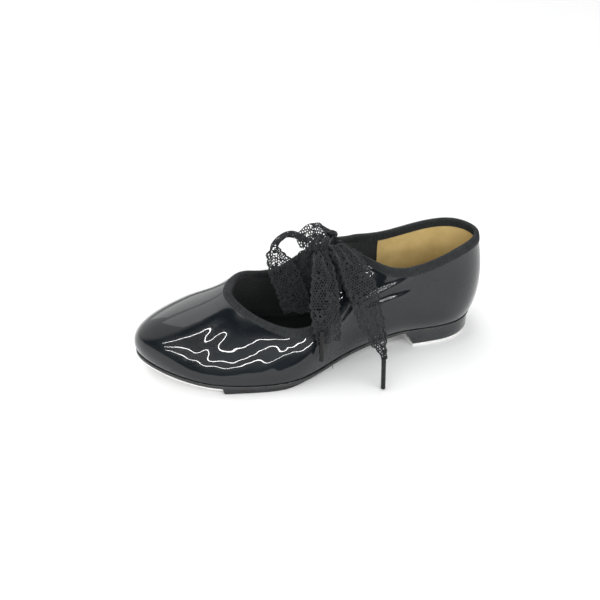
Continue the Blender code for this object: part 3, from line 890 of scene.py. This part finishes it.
def drilled(item, cutters):
    """Take the cutters out of a piece, then throw them away."""
    for cutter in cutters:
        cut = item.modifiers.new("hole", "BOOLEAN")
        cut.object = cutter
    graph = bpy.context.evaluated_depsgraph_get()
    mesh = bpy.data.meshes.new_from_object(item.evaluated_get(graph))
    item.modifiers.clear()
    item.data = mesh
    mesh.shade_smooth()
    mesh.set_sharp_from_angle(angle=math.radians(40))
    for cutter in cutters:
        bpy.data.objects.remove(cutter)


def cutter_of(points, faces):
    mesh = bpy.data.meshes.new("cutter")
    mesh.from_pydata(to_world(points).tolist(), [], faces)
    item = bpy.data.objects.new("cutter", mesh)
    bpy.context.scene.collection.objects.link(item)
    item.hide_render = True
    return item


def cross_slots(place):
    """Cutters for the two slots of a cross-head, low in the head at this place."""
    length, width = 2.9, 0.55
    box = [(3, 2, 1, 0), (4, 5, 6, 7), (0, 1, 5, 4), (1, 2, 6, 5), (2, 3, 7, 6), (3, 0, 4, 7)]
    cutters = []
    for turn in (0.4, 0.4 + math.pi / 2):
        along = np.array((math.cos(turn), math.sin(turn), 0.0))
        aside = np.array((-math.sin(turn), math.cos(turn), 0.0))
        corners = [
            place + along * a * length / 2 + aside * b * width / 2 + np.array((0, 0, c))
            for c in (-0.6, 0.75) for a, b in ((-1, -1), (1, -1), (1, 1), (-1, 1))
        ]
        cutters.append(cutter_of(np.array(corners), box))
    return cutters


def make_screws(names, places, foot, plate_item, finish):
    """Countersunk cross-head screws, and the holes that they sit in."""
    wide = HEAD_RADIUS + 0.12
    seat = ((wide + 0.23, -1.0), (wide, 0.25), (wide, 1.5), (1.5, 1.6), (1.5, 4.0))
    head = ((0.2, 0.16), (1.5, 0.2), (2.05, 0.3), (HEAD_RADIUS, 0.5), (HEAD_RADIUS, 1.0))
    screw_shape = (*head, (1.2, 1.35), (1.2, 3.6), (0.3, 4.4))
    seats = []
    for k, (x, y) in enumerate(places):
        before, here, after = foot(np.array([x - 1.0, x, x + 1.0]))
        place, axis = np.array((x, y, here)), np.array((before - after, 0, 2.0))
        seats.append(cutter_of(*turned_points(seat, place, axis)))
        screw = add_mesh(
            f"{names}_{k + 1}_cross_head", *turned_points(screw_shape, place, axis), finish,
            slot="screw", replaces=[f"{names}_{k + 1}"],
        )
        drilled(screw, cross_slots(place))
    drilled(plate_item, seats)


def make_bottom(sole, rubber, plastic, metal, screw_metal, sock):
    inside = PATENT + STIFFENER + LINING + 4 * GAP + 1.0
    sock_at = PATENT + LINING + 5 * GAP + BOARD
    profile = edge_profile(stack(sock_at), stack(sock_at + SOCK), 0.5)
    cloth = plate(None, None, inside, profile)
    add_mesh("sock", *cloth, sock, slot="sock", replaces=["sock_liner"], sharp=60)
    profile = edge_profile(outsole_foot, stack(-GAP / 3), 0.45)
    welt = plate(None, None, -0.6, profile, 160)
    add_mesh("outsole_edge", *welt, sole, slot="sole", replaces=["outsole"], sharp=60)
    profile = edge_profile(pad_foot, sole_face, 0.35)
    pad = plate(PAD_REAR, TOE_TAP_REAR - 1.0, 0.2, profile, 90)
    add_mesh("ball_pad", *pad, rubber, slot="pad_rubber", replaces=["sole_pad"], sharp=60)
    lean = HEEL_BREAST_FOOT - HEEL_BREAST_TOP
    profile = edge_profile(level(TAP + 0.1), sole_face, 0.35, lean)
    block = plate(None, HEEL_BREAST_TOP, 0.5, profile)
    add_mesh("heel_lift", *block, plastic, slot="heel_block", replaces=["heel_block"], sharp=40)
    profile = edge_profile(level(0.0), level(TAP), 0.3)
    heel_plate = plate(None, HEEL_BREAST_FOOT, 0.9, profile)
    heel_tap = add_mesh("heel_plate", *heel_plate, metal, slot="tap", replaces=["heel_tap"])
    toe_plate = plate(TOE_TAP_REAR, None, 0.9, edge_profile(toe_tap_foot, sole_face, 0.3))
    toe_tap = add_mesh("toe_plate", *toe_plate, metal, slot="tap", replaces=["toe_tap"])
    make_screws("toe_tap_screw", TOE_SCREWS, toe_tap_foot, toe_tap, screw_metal)
    make_screws("heel_tap_screw", HEEL_SCREWS, level(0.0), heel_tap, screw_metal)


# ---- lace ----
def lace_field(u, v, length):
    """Above zero where there is thread: u runs along the ribbon, v across it."""
    wave_number = 2 * math.pi / NET_PITCH
    net = sum(
        np.cos(wave_number * (math.cos(a) * u + math.sin(a) * v))
        for a in (0.0, 2 * math.pi / 3, 4 * math.pi / 3)
    ) / 3
    cloth = -net * 1.2
    vine = 0.6 - abs(v - 6.2 * np.sin(2 * math.pi * u / MOTIF_REPEAT))
    cloth = np.maximum(cloth, vine)
    for side in (1, -1):
        centre = (np.floor(u / MOTIF_REPEAT) + (0.25 if side < 0 else 0.75)) * MOTIF_REPEAT
        away = u - centre
        over = v - 3.6 * side
        radius = np.hypot(away, over)
        angle = np.arctan2(over, away)
        petal = 1.2 + 2.6 * abs(np.cos(2.5 * angle)) - radius
        cloth = np.maximum(cloth, petal * 0.7)
        cloth = np.minimum(cloth, radius - 0.75)
        turn = np.mod(angle * 5 + math.pi, 2 * math.pi) - math.pi
        eye = np.hypot(radius - 3.9, radius * (abs(turn) - math.pi) / 5) - 0.62
        cloth = np.minimum(cloth, eye)
    scallops = 1.1 * (1 - abs(np.sin(math.pi * u / 4.8)))
    picots = 0.22 * (1 + np.cos(2 * math.pi * u / 1.2))
    border = RIBBON_WIDTH / 2 - scallops - picots - abs(v)
    cloth = np.maximum(cloth, 0.75 - abs(border - 0.55))
    ends = np.minimum(u, length - u) + 0.25 * np.cos(2 * math.pi * v / 1.4)
    return np.minimum(np.minimum(cloth, border), ends)


def cut_cloth(length, cell=0.34):
    """Flat lace as (u, v) points and faces, with its holes and edges cut to the pattern."""
    columns = int(round((RIBBON_WIDTH + 1) / cell))
    rows = max(int(round((length + 1) / cell)), 4)
    u = np.linspace(-0.5, length + 0.5, rows + 1)
    v = np.linspace(-(RIBBON_WIDTH + 1) / 2, (RIBBON_WIDTH + 1) / 2, columns + 1)
    grid_u, grid_v = np.meshgrid(u, v, indexing="ij")
    value = lace_field(grid_u, grid_v, length)
    value = np.where(abs(value) < 0.01, 0.01, value)
    inside = value > 0
    points, faces, known = [], [], {}

    def corner(i, j):
        key = (i, j)
        if key not in known:
            known[key] = len(points)
            points.append((u[i], v[j]))
        return known[key]

    def crossing(a, b):
        key = (min(a, b), max(a, b))
        if key not in known:
            share = value[a] / (value[a] - value[b])
            known[key] = len(points)
            points.append((
                u[a[0]] + (u[b[0]] - u[a[0]]) * share,
                v[a[1]] + (v[b[1]] - v[a[1]]) * share,
            ))
        return known[key]

    touched = inside[:-1, :-1] | inside[1:, :-1] | inside[:-1, 1:] | inside[1:, 1:]
    for i, j in zip(*np.nonzero(touched)):
        ring = ((i, j), (i + 1, j), (i + 1, j + 1), (i, j + 1))
        face = []
        for k in range(4):
            a, b = ring[k], ring[(k + 1) % 4]
            if inside[a]:
                face.append(corner(*a))
            if inside[a] != inside[b]:
                face.append(crossing(a, b))
        if len(face) > 2:
            faces.append(tuple(face))
    return np.array(points), faces


def lay_ribbon(
    name, knots, across, finish, seed, body="shoe", replaces=(),
    pleats=3, frill=0.8,
):
    """Lace ribbon along knots of x, y, z and width; where it is narrower than its cut it pleats."""
    path = open_spline(knots, 24)
    centre, width = path[:, :3], path[:, 3]
    run = np.concatenate([[0], np.cumsum(np.linalg.norm(np.diff(centre, axis=0), axis=1))])
    length = run[-1]
    along = unit_rows(np.gradient(centre, axis=0))
    side = np.asarray(across, float)
    side = np.broadcast_to(side, centre.shape) if side.ndim == 1 else open_spline(side, 24)
    side = unit_rows(side - along * np.sum(side * along, axis=1, keepdims=True))
    face = np.cross(side, along)

    flat, faces = cut_cloth(length)
    u, v = flat[:, 0], flat[:, 1]

    def at(values):
        return np.stack([np.interp(u, run, values[:, k]) for k in range(3)], 1)

    narrowest, deepest = 2.5, 2.6
    local = np.clip(np.interp(u, run, width), narrowest, RIBBON_WIDTH)
    squeeze = RIBBON_WIDTH / local
    fold = local / pleats
    depth = np.minimum(fold / (2 * math.pi) * np.sqrt(2 * (squeeze**2 - 1)) * 0.85, deepest)
    share = v / RIBBON_WIDTH
    drift = 0.5 * np.sin(u * 0.35 + seed)
    rise = depth * np.sin(2 * math.pi * pleats * share + seed + drift)
    edge = (2 * abs(share)) ** 2
    rise = rise + frill * edge * np.sin(2 * math.pi * u / 11.0 + seed + np.sign(v) * 1.3)
    rise = rise + 0.35 * np.sin(2 * math.pi * u / 17.0 + 3 * share + seed * 2)
    sideways = unit_rows(at(side)) * (share * local)[:, None]
    points = at(centre) + sideways + unit_rows(at(face)) * rise[:, None]

    item = add_mesh(
        name, points, faces, finish, body=body, slot="lace_ribbon", replaces=replaces, sharp=80,
    )
    thick = item.modifiers.new("thickness", "SOLIDIFY")
    thick.thickness = LACE_THICK * MM
    thick.offset = 0.0


def ring_knots(centre, axis, radius, width, tilt, start):
    """Knots of a ribbon wound once round an axis; tilt turns its slightly oval shape."""
    axis = np.asarray(axis, float) / np.linalg.norm(axis)
    first = unit_rows(np.cross(axis, (0, 0, 1.0)))
    second = np.cross(axis, first)
    knots = []
    for angle in np.radians(np.linspace(start, start + 350, 11)):
        flatten = 1.0 + 0.12 * math.sin(2 * angle + tilt)
        place = centre + (first * math.cos(angle) + second * math.sin(angle) * 0.85) * radius * flatten
        knots.append((*place, width))
    return knots


def make_knot(lace):
    wrap_axis, turn_axis = (0.8, -0.55, 0.15), (0.2, 0.9, 0.35)
    wrap = ring_knots(KNOT, wrap_axis, 6.4, 13, 0.4, 30)
    lay_ribbon(
        "knot_wrap", wrap, wrap_axis, lace, 2, replaces=["ribbon_knot"],
    )
    turn = ring_knots(KNOT + (0.5, 0.6, -0.6), turn_axis, 4.8, 8.5, 1.9, 100)
    lay_ribbon("knot_inner_turn", turn, turn_axis, lace, 5)
    top_fold = (
        (-17, -8, 77, 9), (-13, -7, 82.5, 12), (-7, -4, 87, 14),
        (1, 0, 88, 14), (7, 4, 84.5, 12), (8, 6, 79, 8),
    )
    lay_ribbon("knot_top_fold", top_fold, (0.55, -0.8, 0.1), lace, 7)
    lay_ribbon(
        "ribbon_under_tabs", crossing_knots(), (1, 0, 0), lace, 9, replaces=["ribbon_crossing"],
        frill=0.2,
    )


def make_loops(lace):
    """The inner loop rings forward and droops into the throat; the outer one lies folded."""
    edge_on, between, face_on = (0.25, 0.7, 0.66), (0.8, 0.15, 0.58), (0.945, -0.327, 0.1)
    inner = (
        (4, 2, 80.5, 8), (9, -2, 84.2, 10), (16, -5, 84.8, 11), (22, -7, 80.5, 12), (24.5, -6.5, 72, 13),
        (20, -3, 60, 20), (15, 0, 46, 21), (12, 1, 33, 20), (9.5, -2, 26, 19), (8.5, -6, 37, 19),
        (6.5, -5, 56, 18), (3, -1, 68, 14), (1, 3, 75, 9),
    )
    sides = (edge_on,) * 4 + (between,) + (face_on,) * 8
    lay_ribbon(
        "loop_inner", inner, sides, lace, 3, replaces=["ribbon_loop_inner"],
        pleats=2, frill=1.0,
    )
    outer = (
        (-5, 13, 79.4, 8), (-11, 20, 78.8, 11), (-15, 26, 74.4, 15), (-17.5, 31, 68, 18),
        (-19, 35, 61, 19), (-19.5, 35.9, 57.5, 19), (-18.8, 33.4, 59, 19), (-16.5, 28.8, 67, 17),
        (-14, 23.4, 72.6, 13), (-11, 18.6, 76.4, 10), (-5, 13, 77, 8),
    )
    lay_ribbon(
        "loop_outer", outer, (1, 0.1, 0), lace, 4, replaces=["ribbon_loop_outer"],
        pleats=2,
    )


def lace_tip(end, place, axis, finish):
    """A moulded tip with a groove pressed round it."""
    low_end, groove = ((0.9, -0.2), (1.35, 0.0), (1.5, 0.5)), ((1.5, 7.8), (1.36, 8.3), (1.5, 8.8))
    profile = (*low_end, *groove, (1.5, 21.4), (1.4, 22.0), (1.0, 22.1))
    return add_mesh(
        f"lace_tip_{end}", *turned_points(profile, place, axis, sides=32), finish,
        body=f"{end}_tail", slot="aglet", replaces=[f"aglet_{end}"],
    )


def make_tails(lace, tip, thread):
    """Two tails with their tips and the threads that have frayed out of them."""
    rear_tip = lace_tip("rear", (-26.4, 64.6, 1.0), (-0.5, -2.6, 22), tip)
    front_tip = lace_tip("front", (10.5, 49.3, 20.5), (0.2, -1.0, 22), tip)
    strands = []
    for k, (dx, dz) in enumerate(((0.0, 0.0), (1.8, 0.7), (3.0, 0.3))):
        drop = np.linspace(0, 1, 16)
        sway = 0.9 * np.sin(drop * 5 + k * 2)
        strands.append(tube_points(np.column_stack([
            4.0 + dx - drop * (1.5 - k * 0.4) + sway * 0.5,
            46.2 + 1.6 * drop + 0.3 * sway,
            32.0 + dz - drop * (21.0 - 1.5 * k),
        ]), 0.14))
    front_threads = add_mesh(
        "front_tail_threads", *joined(strands), thread, body="front_tail", slot="lace_ribbon",
    )
    drop = np.linspace(0, 1, 20)
    loose = np.column_stack([-19 + 19 * drop, 49 + 1.5 * drop, 36 - 11 * drop - 3 * np.sin(math.pi * drop)])
    rear_threads = add_mesh(
        "rear_tail_thread", *tube_points(loose, 0.16), thread, body="rear_tail", slot="lace_ribbon",
    )

    rear = (
        (-7.3, 14.6, 82.4, 7), (-11, 20, 83, 13), (-15, 28, 78.5, 18), (-18, 34.5, 69, 20.5),
        (-21, 39.5, 58, 20.5), (-23, 44, 46, 19.5), (-25, 50, 36, 16), (-26.5, 56.5, 28.5, 10),
        (-27, 61, 24.5, 4.5), (-27, 62, 21, 3.2),
    )
    lay_ribbon(
        "tail_rear", rear, (1, 0, 0), lace, 6, body="rear_tail", replaces=["ribbon_tail_rear"],
        frill=1.2,
    )
    front = (
        (2, 15.4, 79.8, 7), (2, 21, 78, 12), (3, 29, 70, 17), (4.5, 36, 60, 20),
        (6, 41, 51, 20.5), (5.5, 44.5, 42, 19.5), (5, 46, 31, 16),
    )
    lay_ribbon(
        "tail_front", front, (1, 0, 0), lace, 8, body="front_tail", replaces=["ribbon_tail_front"],
        pleats=2, frill=1.0,
    )


def crossing_knots():
    """From the knot over the outer tab, down its hole, under both tabs and up to the knot."""
    knots = [(-13, 9.5, 79.5, 8), (-17.5, 11, 78.2, 6)]
    for t, side in ((TAB, 1), (ROUND - TAB, -1)):
        centre, normal = hole_place(t)
        outside = [*(centre + normal * 2.5), 5.0]
        middle = [*(centre - normal * 1.2), 5.0]
        inside = [*(centre - normal * 5.0), 6.0]
        knots += [outside, middle, inside][::side]
        if side > 0:
            knots += [(-21, 10, 66, 12), (-21, 0, 65.5, 14), (-21, -8, 64.5, 12)]
    return knots + [(-16.5, -8, 78, 7), (-12, -5, 79, 9)]


# ---- all together ----
def finish_hidden_nodes():
    """The pieces inside the shoe keep their shapes and get their own finishes."""
    puff = board_finish("puff_sheet", (0.42, 0.38, 0.3), 0.6)
    fibre = board_finish("fibre_board", (0.36, 0.27, 0.17), 0.8)
    cork = board_finish("cork_filler", (0.3, 0.2, 0.11), 1.4)
    steel = metal_finish("spring_steel", (0.45, 0.45, 0.46), 0.3, 0.45)
    nails = metal_finish("nail_steel", (0.5, 0.5, 0.5), 0.35, 0.5)
    finishes = {
        "toe_puff": puff, "heel_counter": fibre, "insole_board": fibre,
        "bottom_filler": cork, "shank": steel,
    }
    finishes.update({f"heel_nail_{k}": nails for k in range(1, 5)})
    for node, finish in finishes.items():
        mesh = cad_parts[node].data
        mesh.materials.clear()
        mesh.materials.append(finish)


def main():
    make_camera()
    make_room()
    make_floor()
    make_lamps()
    make_upper(patent_finish())
    black_thread = thread_finish("black_thread", (0.012, 0.013, 0.015))
    brown_edge = thread_finish("raw_edge", (0.05, 0.03, 0.012))
    tan_thread = thread_finish("tan_thread", (0.5, 0.38, 0.18))
    make_binding(tape_finish(), black_thread)
    make_linings(mesh_finish(), tan_finish(), tan_thread, brown_edge)
    taps = metal_finish("satin_aluminium", (0.86, 0.855, 0.84), 0.24, 0.4)
    screws = metal_finish("plated_steel", (0.66, 0.66, 0.67), 0.2, 0.35)
    make_bottom(sole_finish(), rubber_finish(), heel_finish(), taps, screws, sock_finish())
    lace = lace_finish()
    make_knot(lace)
    make_loops(lace)
    make_tails(lace, tip_finish(), black_thread)
    finish_hidden_nodes()


main()
